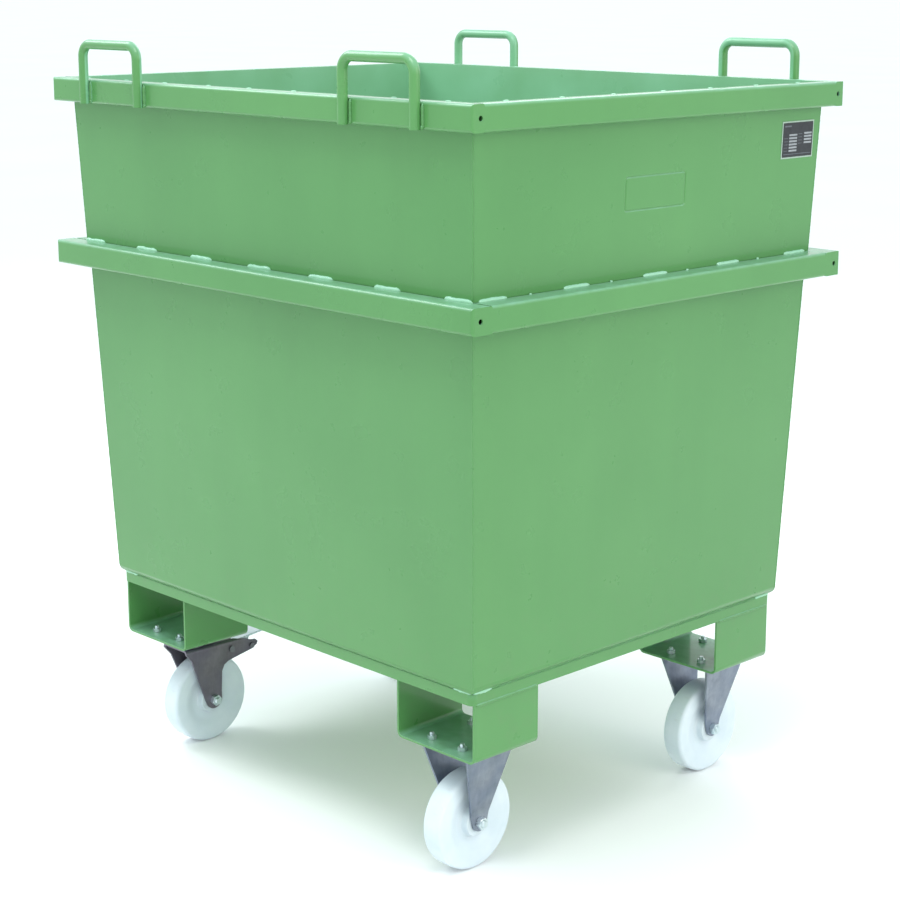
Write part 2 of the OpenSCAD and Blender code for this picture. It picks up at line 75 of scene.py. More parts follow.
class Shape:
    """Closed surfaces collected one after another, then made into one object."""

    def __init__(self):
        self.verts, self.faces = [], []

    def skin(self, rings, closed=False):
        """Skins rings of points, in order. Open stacks get a flat cap at each end."""
        base, n = len(self.verts), len(rings[0])
        for ring in rings:
            self.verts.extend(ring)
        count = len(rings) if closed else len(rings) - 1
        for i in range(count):
            a, b = base + i * n, base + (i + 1) % len(rings) * n
            self.faces.extend((a + j, a + (j + 1) % n, b + (j + 1) % n, b + j) for j in range(n))
        if not closed:
            self.faces.append(tuple(base + j for j in reversed(range(n))))
            self.faces.append(tuple(base + (len(rings) - 1) * n + j for j in range(n)))

    def plate(self, outline, lift):
        """A flat closed outline given some thickness along the vector lift."""
        self.skin([outline, [p + lift for p in outline]])

    def make(self, name, material, body, slot, smooth_angle, origin=None):
        """Makes the object, smooth up to an angle in degrees, with its origin at a given point."""
        mesh = bpy.data.meshes.new(name)
        shift = origin or Vector()
        mesh.from_pydata([Vector(v) - shift for v in self.verts], [], self.faces)
        bm = bmesh.new()
        bm.from_mesh(mesh)
        bmesh.ops.recalc_face_normals(bm, faces=bm.faces)
        bm.to_mesh(mesh)
        bm.free()
        for face in mesh.polygons:
            face.use_smooth = True
        mesh.set_sharp_from_angle(angle=math.radians(smooth_angle))
        mesh.materials.append(material)
        obj = bpy.data.objects.new(name, mesh)
        obj.location = shift
        bpy.context.scene.collection.objects.link(obj)
        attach(obj, body)
        return obj


def across_axis(axis, turn=0.0):
    """Two unit vectors square to the axis and to each other, turned about it by an angle."""
    u = Matrix.Rotation(turn, 3, axis) @ axis.orthogonal().normalized()
    return u, axis.cross(u)


def on_circle(centre, u, v, radius, angle):
    return centre + (u * math.cos(angle) + v * math.sin(angle)) * radius


def circle_points(centre, u, v, radius, count):
    step = 2 * math.pi / count
    return [on_circle(centre, u, v, radius, i * step) for i in range(count)]


def lathe(shape, profile, origin, axis, count):
    """Turns a closed profile of (distance along the axis, radius) about the axis."""
    u, v = across_axis(axis)
    shape.skin([circle_points(origin + axis * a, u, v, r, count) for a, r in profile], True)


def arc(cx, cy, radius, start, end, steps):
    """Points of an arc in a profile, between two angles in degrees."""
    angles = [math.radians(start + (end - start) * i / steps) for i in range(steps + 1)]
    return [(cx + radius * math.cos(a), cy + radius * math.sin(a)) for a in angles]


# ---------- materials ----------

def new_material(name):
    """A material, its node tree and its Principled shader."""
    material = bpy.data.materials.new(name)
    material.use_nodes = True
    tree = material.node_tree
    shader = tree.nodes["Principled BSDF"]
    return material, tree, shader


def node(tree, kind, inputs=None, **settings):
    """Adds a node, sets its properties, and links or sets its inputs."""
    made = tree.nodes.new(kind)
    for key, value in settings.items():
        setattr(made, key, value)
    for key, value in (inputs or {}).items():
        if isinstance(value, bpy.types.NodeSocket):
            tree.links.new(value, made.inputs[key])
        else:
            made.inputs[key].default_value = value
    return made


def wire(tree, shader, colour, roughness, normal):
    """Links the three sockets that vary over the surface of every material of the container."""
    tree.links.new(colour, shader.inputs["Base Color"])
    tree.links.new(roughness, shader.inputs["Roughness"])
    tree.links.new(normal, shader.inputs["Normal"])


def place(tree, scale=(1, 1, 1)):
    """Position on the object, in metres, stretched by a scale along each axis."""
    coordinates = node(tree, "ShaderNodeTexCoord").outputs["Object"]
    if scale == (1, 1, 1):
        return coordinates
    return node(tree, "ShaderNodeMapping", {"Vector": coordinates, "Scale": scale}).outputs["Vector"]


def grain(tree, scale, detail=3.0, rough=0.5, stretch=(1, 1, 1)):
    """Fractal noise, about 0 to 1, with this many features per metre."""
    inputs = {"Vector": place(tree, stretch), "Scale": scale, "Detail": detail, "Roughness": rough}
    return node(tree, "ShaderNodeTexNoise", inputs).outputs["Fac"]


def ramp(tree, value, *stops):
    """Maps a value through (position, colour) stops."""
    made = node(tree, "ShaderNodeValToRGB", {"Fac": value})
    points = made.color_ramp.elements
    while len(points) < len(stops):
        points.new(0.5)
    for point, (position, colour) in zip(points, stops):
        point.position = position
        point.color = colour if isinstance(colour, tuple) else (colour, colour, colour, 1)
    return made.outputs["Color"]


def mix(tree, factor, a, b, blend="MIX"):
    made = node(tree, "ShaderNodeMix", data_type="RGBA", blend_type=blend)
    for socket, value in zip((made.inputs[0], made.inputs[6], made.inputs[7]), (factor, a, b)):
        if isinstance(value, bpy.types.NodeSocket):
            tree.links.new(value, socket)
        else:
            socket.default_value = value
    return made.outputs[2]


def maths(tree, operation, *values):
    return node(tree, "ShaderNodeMath", dict(enumerate(values)), operation=operation).outputs[0]


def vector_maths(tree, operation, *values):
    return node(tree, "ShaderNodeVectorMath", dict(enumerate(values)), operation=operation).outputs


def fade(tree, value, start, end, top=1.0):
    """Rises from 0 to top while the value goes from start to end, and stays there."""
    limits = {"Value": value, "From Min": start, "From Max": end, "To Max": top}
    return node(tree, "ShaderNodeMapRange", limits).outputs[0]


def bump(tree, height, distance, strength=1.0, normal=None):
    inputs = {"Height": height, "Distance": distance, "Strength": strength}
    if normal is not None:
        inputs["Normal"] = normal
    return node(tree, "ShaderNodeBump", inputs).outputs["Normal"]


def axis_value(tree, axis):
    """One coordinate on the object, in metres."""
    return node(tree, "ShaderNodeSeparateXYZ", {"Vector": place(tree)}).outputs[axis]


def facing_up(tree):
    """1 on a face that looks straight up, 0 on an upright one."""
    normal = node(tree, "ShaderNodeNewGeometry").outputs["Normal"]
    upwards = node(tree, "ShaderNodeSeparateXYZ", {"Vector": normal}).outputs["Z"]
    return maths(tree, "MAXIMUM", upwards, 0.0)


def painted_inner_sheen(tree):
    """How much painted reflection of the sky the paint gets: only on faces above the middle rim that
    look inwards.
    """
    sheen_low, sheen_high = 1.1, 1.4                    # heights where it starts and is full
    normal = node(tree, "ShaderNodeNewGeometry").outputs["Normal"]
    level = vector_maths(tree, "MULTIPLY", place(tree), (1, 1, 0))[0]
    outwards = vector_maths(tree, "DOT_PRODUCT", normal, level)["Value"]
    facing = fade(tree, outwards, -0.25, -0.40)
    above = fade(tree, axis_value(tree, "Z"), sheen_low, sheen_high)
    cloudy = ramp(tree, grain(tree, 5.0, 3.0), (0.3, 0.5), (0.7, 0.8))
    return maths(tree, "MULTIPLY", maths(tree, "MULTIPLY", facing, above), cloudy)


def painted_steel(name, low_tone, high_tone):
    """Semi-gloss enamel: orange peel, faint roller and spray variation, dust and splashes, and painted
    sky reflection on the tops and on the tub's inward faces.
    """
    splash_top, splash_full = 0.62, 0.38                # heights where splashes start and are full
    material, tree, shader = new_material(name)
    cloud = ramp(tree, grain(tree, 2.2, 2.0), (0.3, low_tone), (0.7, high_tone))
    streak = ramp(tree, grain(tree, 9.0, 3.0, stretch=(1, 1, 0.12)), (0.35, 0.93), (0.65, 1.0))
    colour = mix(tree, 0.5, cloud, streak, "MULTIPLY")
    speck = ramp(tree, grain(tree, 900.0, 2.0), (0.26, 0.94), (0.46, 1.0))
    colour = mix(tree, 0.2, colour, speck, "MULTIPLY")
    # painted reflection: the tub's inward faces above the middle rim turn light teal, as if reflecting
    # the sky
    colour = mix(tree, painted_inner_sheen(tree), colour, srgb(136, 196, 160))
    # dust on up-facing faces, in a light teal that also paints the sky's reflection on the tops of the
    # rims
    dust_and_sheen_patches = ramp(tree, grain(tree, 40.0, 5.0), (0.4, 0.30), (0.8, 0.52))
    dust_and_sheen = maths(tree, "MULTIPLY", facing_up(tree), dust_and_sheen_patches)
    colour = mix(tree, dust_and_sheen, colour, srgb(160, 208, 196))
    low = fade(tree, axis_value(tree, "Z"), splash_top, splash_full)
    drops = ramp(tree, grain(tree, 26.0, 6.0, 0.65), (0.5, 0.0), (0.75, 0.16))
    colour = mix(tree, maths(tree, "MULTIPLY", low, drops), colour, srgb(112, 126, 98))
    gloss = ramp(tree, grain(tree, 14.0, 4.0), (0.3, 0.26), (0.7, 0.36))
    roughness = maths(tree, "ADD", gloss, maths(tree, "MULTIPLY", dust_and_sheen, 0.2))
    sheet_wave = bump(tree, grain(tree, 2.6, 1.0), 0.02, 0.08)
    orange_peel = bump(tree, grain(tree, 420.0, 2.0), 0.0002, 0.14, sheet_wave)
    wire(tree, shader, colour, roughness, orange_peel)
    shader.inputs["Specular IOR Level"].default_value = 0.3
    shader.inputs["Coat Weight"].default_value = 0.4
    shader.inputs["Coat Roughness"].default_value = 0.10
    return material


def zinc(name, dark, light, tint, rough, metal, fine):
    """Zinc plate: cloudy passivation with a tinted tone, rolling marks and a fine grain."""
    material, tree, shader = new_material(name)
    cloud = ramp(tree, grain(tree, 28.0, 4.0, 0.6), (0.32, dark), (0.68, light))
    tone = ramp(tree, grain(tree, 11.0, 2.0), (0.42, 0.0), (0.62, 0.55))
    colour = mix(tree, tone, cloud, tint)
    rolled = ramp(tree, grain(tree, 160.0, 2.0, stretch=(1, 1, 0.04)), (0.3, 0.86), (0.7, 1.0))
    colour = mix(tree, 0.6, colour, rolled, "MULTIPLY")
    spot = ramp(tree, grain(tree, 520.0, 2.0), (0.27, 0.72), (0.36, 1.0))
    colour = mix(tree, 0.5, colour, spot, "MULTIPLY")
    roughness = ramp(tree, grain(tree, 45.0, 5.0, 0.7), (0.3, rough[0]), (0.7, rough[1]))
    wire(tree, shader, colour, roughness, bump(tree, grain(tree, 700.0 * fine, 3.0), 0.00008, 0.5))
    shader.inputs["Metallic"].default_value = metal
    return material


def nylon():
    """Cast nylon: milky and waxy, turned rings on its sides, painted shade greying the dish round the
    hub, a scuffed tread.
    """
    tread_from, tread_full = 0.0965, 0.0995             # radii where the scuffs start and are full
    # radii where the painted shade round the hub starts and is full
    hub_shade_from, hub_shade_full = 0.046, 0.030
    ring_pitch = 0.0016
    material, tree, shader = new_material("white_nylon")
    off_axis = vector_maths(tree, "MULTIPLY", place(tree), (0, 1, 1))[0]
    radius = vector_maths(tree, "LENGTH", off_axis)["Value"]
    milk = ramp(tree, grain(tree, 18.0, 3.0), (0.3, srgb(210, 223, 231)), (0.7, srgb(220, 231, 237)))
    scuff = ramp(tree, grain(tree, 130.0, 5.0, 0.7, (0.35, 1, 1)), (0.58, 0.0), (0.80, 0.35))
    worn = maths(tree, "MULTIPLY", fade(tree, radius, tread_from, tread_full), scuff)
    colour = mix(tree, worn, milk, srgb(186, 188, 184))
    # painted shade: the sides grey towards the hub, where the dish and the hub shade them
    hub = fade(tree, radius, hub_shade_from, hub_shade_full, 0.35)
    painted_hub_shade = maths(tree, "MULTIPLY", hub, grain(tree, 60.0, 4.0))
    colour = mix(tree, painted_hub_shade, colour, srgb(150, 156, 160))
    speck = ramp(tree, grain(tree, 480.0, 2.0), (0.25, 0.9), (0.34, 1.0))
    colour = mix(tree, 0.5, colour, speck, "MULTIPLY")
    roughness = ramp(tree, grain(tree, 90.0, 4.0), (0.3, 0.34), (0.7, 0.48))
    turned = maths(tree, "SINE", maths(tree, "MULTIPLY", radius, 2 * math.pi / ring_pitch))
    rings = bump(tree, turned, 0.00004, 0.35)
    wire(tree, shader, colour, roughness, bump(tree, grain(tree, 220.0, 3.0), 0.00025, 0.25, rings))
    shader.inputs["Subsurface Weight"].default_value = 0.12
    shader.inputs["Subsurface Radius"].default_value = (0.004, 0.004, 0.005)
    shader.inputs["Subsurface Scale"].default_value = 1.0
    return material


def rubber():
    material, tree, shader = new_material("brake_rubber")
    colour = ramp(tree, grain(tree, 240.0, 4.0), (0.3, srgb(34, 35, 36)), (0.7, srgb(52, 53, 54)))
    roughness = ramp(tree, grain(tree, 90.0, 3.0), (0.3, 0.68), (0.7, 0.85))
    wire(tree, shader, colour, roughness, bump(tree, grain(tree, 900.0, 3.0), 0.0002, 0.6))
    return material


def printed(name, dark, light, rough):
    """Printed film: nearly even colour with faint mottling and a fine texture."""
    material, tree, shader = new_material(name)
    colour = ramp(tree, grain(tree, 150.0, 4.0), (0.3, dark), (0.7, light))
    roughness = ramp(tree, grain(tree, 60.0, 4.0), (0.3, rough), (0.7, rough + 0.14))
    wire(tree, shader, colour, roughness, bump(tree, grain(tree, 1500.0, 2.0), 0.00005, 0.3))
    return material


# name, then the dark, light and tinted tones, the range of roughness, metallic and grain
ZINCS = (
    ("zinc_plate", (128, 134, 146), (156, 162, 174), (126, 136, 158), (0.34, 0.5), 0.85, 1.0),
    # dark_zinc is darker than zinc_plate partly for its own tone and partly as painted shade on the
    # swivel forks under the tub
    ("dark_zinc", (116, 110, 118), (138, 132, 140), (116, 110, 128), (0.38, 0.52), 0.85, 1.0),
    ("bright_zinc", (206, 220, 225), (232, 240, 243), (196, 218, 226), (0.24, 0.38), 0.85, 1.0),
    ("bearing_steel", (176, 178, 180), (200, 202, 204), (190, 188, 182), (0.16, 0.26), 1.0, 2.0),
    ("pin_zinc", (120, 120, 126), (144, 144, 150), (116, 114, 124), (0.38, 0.5), 0.85, 1.0),
)
# name, then the dark and light tones and the least roughness
PRINTS = (
    ("label", (150, 172, 158), (164, 184, 170), 0.34),
    ("label_dark", (26, 28, 34), (38, 40, 46), 0.36),
    ("label_light", (138, 143, 148), (158, 162, 167), 0.4),
    ("label_faint", (84, 88, 96), (102, 106, 114), 0.4),
)
MATERIALS = {
    "green_paint": painted_steel("green_paint", srgb(83, 142, 80), srgb(89, 148, 85)),
    # a lighter copy of the green paint: a painted highlight on the rounded weld beads
    "highlit_weld_paint": painted_steel("highlit_weld_paint", srgb(150, 204, 170), srgb(166, 216, 186)),
    "white_nylon": nylon(),
    "brake_rubber": rubber(),
}
for name, dark, light, tint, rough, metal, fine in ZINCS:
    MATERIALS[name] = zinc(name, srgb(*dark), srgb(*light), srgb(*tint), rough, metal, fine)
for name, dark, light, rough in PRINTS:
    MATERIALS[name] = printed(name, srgb(*dark), srgb(*light), rough)


# ---------- CAD nodes kept as they are: material, and a small bevel on sheared edges ----------

def finish_node(name, slot, bevel=None, look=None):
    """Gives a node the material of its slot, or another look, and a bevel of some width."""
    obj = NODES[name]
    obj.data.materials.clear()
    obj.data.materials.append(MATERIALS[look or slot])
    for face in obj.data.polygons:
        face.material_index = 0
    if bevel:
        weld = obj.modifiers.new("weld", "WELD")
        weld.merge_threshold = 0.02 * MM
        edge = obj.modifiers.new("bevel", "BEVEL")
        edge.width = bevel
        edge.segments = 2
        edge.limit_method = "ANGLE"
        edge.angle_limit = math.radians(40)
        edge.harden_normals = True
        edge.use_clamp_overlap = True


for piece in frame["record"]["subparts"]:
    finish_node(piece["node"], piece["material_slot"])

for end in ENDS:
    finish_node(f"fixed_bracket_{end}", "zinc_plate", 0.7 * MM)
    finish_node(f"swivel_fork_{end}", "dark_zinc", 0.7 * MM)
    finish_node(f"swivel_plate_{end}", "zinc_plate", 0.6 * MM)
    finish_node(f"brake_pedal_{end}", "bright_zinc", 0.5 * MM)
    finish_node(f"brake_pins_{end}", "bright_zinc", 0.5 * MM, "pin_zinc")
    finish_node(f"brake_shoe_{end}", "brake_rubber", 0.8 * MM)
for end, side in CORNERS:
    finish_node(f"foot_{end}_{side}", "green_paint", 0.9 * MM)
for wall in ENDS + SIDES:
    finish_node(f"collar_wall_{wall}", "green_paint", 0.6 * MM)
    finish_node(f"lower_wall_{wall}", "green_paint", 0.6 * MM)
finish_node("base_tray", "green_paint", 1.2 * MM)
finish_node("rating_plate", "label", 0.3 * MM)


# ---------- sizes read from the frame ----------

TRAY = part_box("base_tray")[1]
TUB_LOW, TUB_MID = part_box("lower_wall_right")[0].z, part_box("lower_wall_right")[1].z
WALL_TOP_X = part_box("lower_wall_right")[1].x        # outer faces of the lower walls at their top
WALL_TOP_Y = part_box("lower_wall_back")[1].y
COLLAR_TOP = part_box("collar_wall_right")[1].z
COLLAR_TOP_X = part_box("collar_wall_right")[1].x
COLLAR_TOP_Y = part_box("collar_wall_back")[1].y
LEAN_X, LEAN_Y = 0.0372, 0.0406                     # how far the walls lean out per metre of height
SHEET = 3 * MM
RIM_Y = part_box("upper_rim_back")[1].y               # outer face of the upper rim
RIM_LOW, RIM_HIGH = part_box("upper_rim_back")[0].z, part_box("upper_rim_back")[1].z
RIM_DEPTH = 51 * MM                                 # a rim's height and a little more


def wall_x(z):
    """Outer face of the lower side walls at height z."""
    return WALL_TOP_X - LEAN_X * (TUB_MID - z)


def wall_y(z):
    return WALL_TOP_Y - LEAN_Y * (TUB_MID - z)


def collar_x(z):
    """Outer face of the collar's side walls at height z."""
    return COLLAR_TOP_X - LEAN_X * (COLLAR_TOP - z)


def collar_y(z):
    return COLLAR_TOP_Y - LEAN_Y * (COLLAR_TOP - z)


# ---------- weld beads ----------

def bead(shape, start, end, out, width, height, seed, pitch=2.6 * MM, step=0.9 * MM, sides=10):
    """A lumpy run of weld from start to end, standing out along the vector out.

    pitch is that of its ripples. step and sides set how finely it is modelled.
    """
    start, end = Vector(start), Vector(end)
    length = (end - start).length
    along = (end - start).normalized()
    out = (out - along * out.dot(along)).normalized()
    across = along.cross(out)
    rings = []
    count = max(6, round(length / step))
    for i in range(count + 1):
        s = length * i / count
        taper = math.sqrt(max(0.0, 1 - (1 - min(s, length - s, width) / width) ** 2))
        rough = noise.noise(Vector((s * 160, seed, 0.3)))
        ripple = 1 + 0.07 * math.cos(2 * math.pi * s / pitch + 2 * rough) + 0.16 * rough
        size = max(0.06, taper) * ripple
        drift = across * (0.12 * width * noise.noise(Vector((s * 60, seed, 7.7))))
        ring = []
        for j in range(sides):
            angle = 2 * math.pi * j / sides
            bow = along * (-0.35 * width * math.cos(angle) ** 2 * taper)
            sideways = across * (width / 2 * size * math.cos(angle))
            ring.append(start + along * s + drift + bow
                        + sideways + out * (height * size * math.sin(angle)))
        rings.append(ring)
    shape.skin(rings)


def short_bead(shape, middle, along, length, out, width, height, seed):
    """A bead of some length, centred on a point."""
    half = along * (length / 2)
    bead(shape, middle - half, middle + half, out, width, height, seed)


def straying(k, row, seed, reach):
    """How far bead k of a row lies from its even place, at most about the reach."""
    return reach * noise.noise(Vector((k, row, seed)))


# the collar's stitch welds on the middle rim, and small spots between those on the sides
STITCH = 70 * MM
STITCH_LIFT = 0.5 * MM
STITCHES_X = (-0.564, -0.376, -0.188, 0.0, 0.188, 0.376, 0.564)
STITCHES_Y = (-0.444, -0.224, 0.0, 0.224, 0.444)
STITCH_SIZE_X, STITCH_SIZE_Y = (10.5 * MM, 5 * MM), (9.5 * MM, 4.6 * MM)    # width and height
SPOT, SPOT_SIZE = 6 * MM, (6 * MM, 3.4 * MM)
SPOT_ON, SPOT_STRAY = 94 * MM, 20 * MM              # how far a spot lies beyond a stitch's middle
stitches = Shape()
for y_side in (-1, 1):
    foot = y_side * (collar_y(TUB_MID) + STITCH_LIFT)
    for k, x in enumerate(STITCHES_X):
        bead(stitches, (x - STITCH / 2, foot, TUB_MID), (x + STITCH / 2, foot, TUB_MID),
             Vector((0, y_side, 1.2)), *STITCH_SIZE_X, 10 * y_side + k)
for x_side in (-1, 1):
    foot = x_side * (collar_x(TUB_MID) + STITCH_LIFT)
    out = Vector((x_side, 0, 1.2))
    for k, y in enumerate(STITCHES_Y):
        bead(stitches, (foot, y - STITCH / 2, TUB_MID), (foot, y + STITCH / 2, TUB_MID),
             out, *STITCH_SIZE_Y, 40 * x_side + k)
        if y != STITCHES_Y[-1]:
            spot_y = y + (SPOT_ON + straying(k, x_side, 5, SPOT_STRAY))
            spot = Vector((foot + x_side * 3 * MM, spot_y, TUB_MID))
            short_bead(stitches, spot, Y, SPOT, out, *SPOT_SIZE, 60 + k)
# the stitches and spots take the lighter paint, a painted highlight
stitches.make("collar_stitch_welds", MATERIALS["highlit_weld_paint"], "container", "green_paint", 60)

# short tacks along the top, where each collar wall meets the upper rim's tube
TACK, TACK_SIZE = 14 * MM, (5 * MM, 1.5 * MM)
TACKS_X, TACKS_Y = 9, 7
TACK_STEP_X, TACK_STEP_Y, TACK_STRAY = 137 * MM, 142 * MM, 12 * MM
tacks = Shape()
for y_side in (-1, 1):
    y = y_side * COLLAR_TOP_Y
    for k in range(TACKS_X):
        x = (k - TACKS_X // 2) * TACK_STEP_X + straying(k * 3.1, y_side, 2, TACK_STRAY)
        bead(tacks, (x - TACK / 2, y, COLLAR_TOP), (x + TACK / 2, y, COLLAR_TOP),
             Z, *TACK_SIZE, 70 + y_side * 10 + k)
for x_side in (-1, 1):
    x = x_side * COLLAR_TOP_X
    for k in range(TACKS_Y):
        y = (k - TACKS_Y // 2) * TACK_STEP_Y + straying(k * 3.1, x_side, 9, TACK_STRAY)
        bead(tacks, (x, y - TACK / 2, COLLAR_TOP), (x, y + TACK / 2, COLLAR_TOP),
             Z, *TACK_SIZE, 90 + x_side * 10 + k)
# the tacks take the lighter paint, a painted highlight
tacks.make("rim_tack_welds", MATERIALS["highlit_weld_paint"], "container", "green_paint", 60)

# corner seams of the lower walls and the collar, ground nearly flush
SEAM_INSET, SEAM_SIZE = 1.2 * MM, (3.6 * MM, 1.9 * MM)
SEAM_FINENESS = (5 * MM, 3 * MM, 8)                 # pitch, step and sides
seams = Shape()
for x_side in (-1, 1):
    for y_side in (-1, 1):
        out = Vector((x_side, y_side, 0))
        seed = 120 + x_side * 3 + y_side
        for low, high, fx, fy in ((TUB_LOW + 12 * MM, TUB_MID - RIM_DEPTH, wall_x, wall_y),
                                  (TUB_MID + 1 * MM, COLLAR_TOP - RIM_DEPTH, collar_x, collar_y)):
            ends = [(x_side * (fx(z) - SEAM_INSET), y_side * (fy(z) - SEAM_INSET), z)
                    for z in (low, high)]
            bead(seams, ends[0], ends[1], out, *SEAM_SIZE, seed, *SEAM_FINENESS)
seams.make("corner_seams", MATERIALS["green_paint"], "container", "green_paint", 60)

# fillets beside the legs of the lifting eyes, thicker where each run starts at the bottom
EYE_RADIUS = 10 * MM
EYE_GAP = 0.5 * MM
EYE_RUN_SIZE, EYE_START_SIZE = (7.5 * MM, 4.0 * MM), (9 * MM, 4.6 * MM)
eye_welds = Shape()
for end, side in CORNERS:
    low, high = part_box(f"lifting_eye_{end}_{side}")
    y_side = sign(end)
    y = y_side * (RIM_Y + EYE_GAP)
    start_y = y + y_side * 1 * MM
    for leg in (low.x + EYE_RADIUS, high.x - EYE_RADIUS):
        for s in (-1, 1):
            x = leg + s * (EYE_RADIUS + EYE_GAP)
            out = Vector((0.8 * s, y_side, 0))
            seed = 200 + leg * 31 + s + y_side * 5
            bead(eye_welds, (x, y, RIM_LOW + 2 * MM), (x, y, RIM_HIGH - 4 * MM),
                 out, *EYE_RUN_SIZE, seed)
            bead(eye_welds, (x, start_y, RIM_LOW + 1 * MM), (x, start_y, RIM_LOW + 9 * MM),
                 out, *EYE_START_SIZE, seed + 3)
eye_welds.make("eye_welds", MATERIALS["green_paint"], "container", "green_paint", 60)

# the seams between the tub and the base tray, with dabs along the front and back and a run
# round each corner, and between the tray and the feet
BASE_X, BASE_Y, BASE_Z = TRAY.x - 3 * MM, TRAY.y - 3 * MM, TRAY.z + 1.2 * MM
BASE_STOP = 10 * MM                                 # the seams end this far from the corners
BASE_SIZE, BASE_FINENESS = (5 * MM, 2.2 * MM), (4 * MM, 2 * MM, 8)
DABS, DAB, DAB_SIZE = 15, 14 * MM, (6.5 * MM, 3.2 * MM)
DAB_STEP, DAB_STRAY = 71 * MM, 12 * MM
CORNER_RUN, CORNER_SIZE = 50 * MM, (10 * MM, 4.5 * MM)
FOOT_SIZE = (7 * MM, 3.6 * MM)
base_welds, corner_welds = Shape(), Shape()
for side_of in (-1, 1):
    x, y = side_of * BASE_X, side_of * BASE_Y
    bead(base_welds, (-TRAY.x + BASE_STOP, y, BASE_Z), (TRAY.x - BASE_STOP, y, BASE_Z),
         Vector((0, side_of, 0.5)), *BASE_SIZE, 300 + side_of, *BASE_FINENESS)
    bead(base_welds, (x, -TRAY.y + BASE_STOP, BASE_Z), (x, TRAY.y - BASE_STOP, BASE_Z),
         Vector((side_of, 0, 0.5)), *BASE_SIZE, 320 + side_of, *BASE_FINENESS)
    for k in range(DABS):
        dab_x = (k - DABS // 2) * DAB_STEP + straying(k * 2.3, side_of, 4, DAB_STRAY)
        short_bead(base_welds, Vector((dab_x, y, BASE_Z + 1 * MM)), X, DAB,
                   Vector((0, side_of, 0.5)), *DAB_SIZE, 340 + k)
    for end in (-1, 1):
        corner = Vector((x, end * BASE_Y, BASE_Z + 2 * MM))
        bead(corner_welds, corner - X * side_of * CORNER_RUN, corner,
             Vector((0, end, 0.6)), *CORNER_SIZE, 330 + end)
        bead(corner_welds, corner - Y * end * CORNER_RUN, corner,
             Vector((side_of, 0, 0.6)), *CORNER_SIZE, 336 + end)
for end, side in CORNERS:
    low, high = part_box(f"foot_{end}_{side}")
    for x, x_side in ((low.x, -1), (high.x, 1)):
        bead(base_welds, (x, low.y + 4 * MM, high.z), (x, high.y - 4 * MM, high.z),
             Vector((x_side, 0, -1)), *FOOT_SIZE, 380 + x * 10 + low.y)
base_welds.make("base_welds", MATERIALS["green_paint"], "container", "green_paint", 60)
# the corner runs take the lighter paint, a painted highlight
corner_welds.make("corner_welds", MATERIALS["highlit_weld_paint"], "container", "green_paint", 60)

# ground butt seams across the tops of the rims, where the side tubes meet the front and back ones
BUTT_SIZE, BUTT_FINENESS = (4 * MM, 0.5 * MM), (6 * MM, 2.5 * MM, 8)
butts = Shape()
for rim in ("upper_rim", "middle_rim"):
    low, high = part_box(f"{rim}_right")
    for x_side in (-1, 1):
        for y_side in (-1, 1):
            y = y_side * high.y
            bead(butts, (x_side * high.x - x_side * 5 * MM, y, high.z),
                 (x_side * low.x + x_side * 3 * MM, y, high.z),
                 Z, *BUTT_SIZE, 520 + x_side + 2 * y_side, *BUTT_FINENESS)
butts.make("rim_butt_seams", MATERIALS["green_paint"], "container", "green_paint", 60)


# ---------- right collar wall with its pressed outline ----------

PANEL_Y, PANEL_Z = (-0.097, 0.077), (1.286, 1.350)
GROOVE_HALF, GROOVE_DEPTH, GROOVE_R = 2.8 * MM, 1.7 * MM, 5 * MM
FLAT_Y = 460 * MM                                   # the grid's evenly spaced part ends here


def groove_depth(y, z):
    """How deep the pressed outline is at a point of the wall."""
    cy, cz = sum(PANEL_Y) / 2, sum(PANEL_Z) / 2
    half_y = (PANEL_Y[1] - PANEL_Y[0]) / 2 - GROOVE_R
    half_z = (PANEL_Z[1] - PANEL_Z[0]) / 2 - GROOVE_R
    dy, dz = abs(y - cy) - half_y, abs(z - cz) - half_z
    away = abs(math.hypot(max(dy, 0), max(dz, 0)) + min(max(dy, dz), 0) - GROOVE_R)
    return GROOVE_DEPTH * (0.5 + 0.5 * math.cos(math.pi * min(1, away / GROOVE_HALF)))


def stations(low, high, lines, coarse):
    """Grid lines from low to high: fine beside each of the given lines, coarse elsewhere."""
    fine = [line + i * 0.8 * MM for line in lines for i in range(-10, 11)]
    steps = max(1, round((high - low) / coarse))
    rough = [low + (high - low) * i / steps for i in range(steps + 1)]
    keep = [v for v in rough if all(abs(v - f) > 0.6 * MM for f in fine) or v in (low, high)]
    return sorted(keep + fine)


def pressed_wall():
    """The sheet as a grid of quads, its outer and inner face both following the groove."""
    low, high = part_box("collar_wall_right")
    shape = Shape()
    z_lines = stations(low.z, high.z, PANEL_Z, 30 * MM)
    y_lines = stations(-FLAT_Y, FLAT_Y, PANEL_Y, 40 * MM)
    rows = []
    for z in z_lines:
        edge = collar_y(z) - SHEET
        ys = [-edge] + y_lines + [edge]
        outer = [Vector((collar_x(z) - groove_depth(y, z), y, z)) for y in ys]
        inner = [Vector((collar_x(z) - SHEET - groove_depth(y, z), y, z)) for y in reversed(ys)]
        rows.append(outer + inner)
    n = len(rows[0])
    for row in rows:
        shape.verts.extend(row)
    for i in range(len(rows) - 1):
        a, b = i * n, (i + 1) * n
        shape.faces.extend((a + j, a + (j + 1) % n, b + (j + 1) % n, b + j) for j in range(n))
    for a in (0, (len(rows) - 1) * n):
        shape.faces.extend((a + j, a + j + 1, a + n - 2 - j, a + n - 1 - j) for j in range(n // 2 - 1))
    return shape.make("collar_wall_pressed", MATERIALS["green_paint"], "container", "green_paint", 40)


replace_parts(pressed_wall(), "collar_wall_right")


# ---------- print on the rating plate ----------

